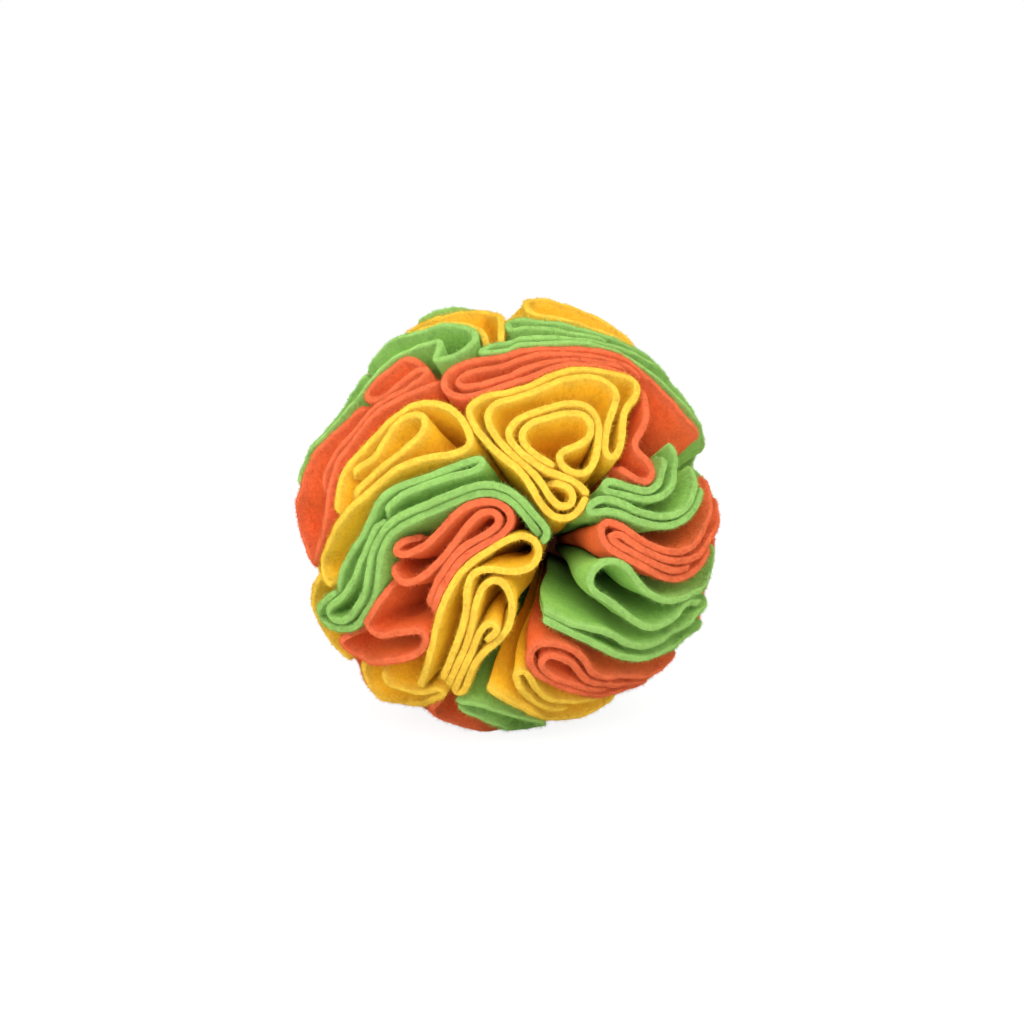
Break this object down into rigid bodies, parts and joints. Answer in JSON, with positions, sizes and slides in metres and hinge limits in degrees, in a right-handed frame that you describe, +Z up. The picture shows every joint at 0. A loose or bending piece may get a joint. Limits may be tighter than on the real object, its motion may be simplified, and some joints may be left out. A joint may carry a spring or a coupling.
{
  "type": "snuffle ball",
  "caption": "Round fleece snuffle ball: folded leaves of soft cloth gathered round a stitched core, with pockets between the folds to hide treats in.",
  "frame": {"origin": "on the floor, below the middle of the ball", "axes": "+Z up; -Y is the front that the picture shows; +X is to the right in the picture"},
  "size_m": [0.1459, 0.1475, 0.1467],
  "materials": {
    "yellow_fleece": "matte brushed nap",
    "green_fleece": "matte brushed nap",
    "orange_fleece": "matte brushed nap",
    "core_felt": "matte felt"
  },
  "bodies": {
    "root": {"green_leaf_1": "green_fleece", "green_leaf_2": "green_fleece", "green_leaf_3": "green_fleece", "green_leaf_4": "green_fleece", "green_leaf_5": "green_fleece", "green_leaf_6": "green_fleece", "green_leaf_7": "green_fleece", "green_leaf_8": "green_fleece", "green_leaf_9": "green_fleece", "green_leaf_10": "green_fleece", "green_leaf_11": "green_fleece", "green_leaf_12": "green_fleece", "green_leaf_13": "green_fleece", "green_leaf_14": "green_fleece", "green_leaf_15": "green_fleece", "green_leaf_16": "green_fleece", "green_leaf_17": "green_fleece", "green_leaf_18": "green_fleece", "orange_leaf_1": "orange_fleece", "orange_leaf_2": "orange_fleece", "orange_leaf_3": "orange_fleece", "orange_leaf_4": "orange_fleece", "orange_leaf_5": "orange_fleece", "orange_leaf_6": "orange_fleece", "orange_leaf_7": "orange_fleece", "orange_leaf_8": "orange_fleece", "orange_leaf_9": "orange_fleece", "orange_leaf_10": "orange_fleece", "orange_leaf_11": "orange_fleece", "orange_leaf_12": "orange_fleece", "orange_leaf_13": "orange_fleece", "orange_leaf_14": "orange_fleece", "orange_leaf_15": "orange_fleece", "orange_leaf_16": "orange_fleece", "orange_leaf_17": "orange_fleece", "orange_leaf_18": "orange_fleece", "orange_leaf_19": "orange_fleece", "stitched_core": "core_felt", "yellow_leaf_1": "yellow_fleece", "yellow_leaf_2": "yellow_fleece", "yellow_leaf_3": "yellow_fleece", "yellow_leaf_4": "yellow_fleece", "yellow_leaf_5": "yellow_fleece", "yellow_leaf_6": "yellow_fleece", "yellow_leaf_7": "yellow_fleece", "yellow_leaf_8": "yellow_fleece", "yellow_leaf_9": "yellow_fleece", "yellow_leaf_10": "yellow_fleece", "yellow_leaf_11": "yellow_fleece", "yellow_leaf_12": "yellow_fleece", "yellow_leaf_13": "yellow_fleece", "yellow_leaf_14": "yellow_fleece", "yellow_leaf_15": "yellow_fleece", "yellow_leaf_16": "yellow_fleece", "yellow_leaf_17": "yellow_fleece", "yellow_leaf_18": "yellow_fleece"}
  },
  "joints": []
}
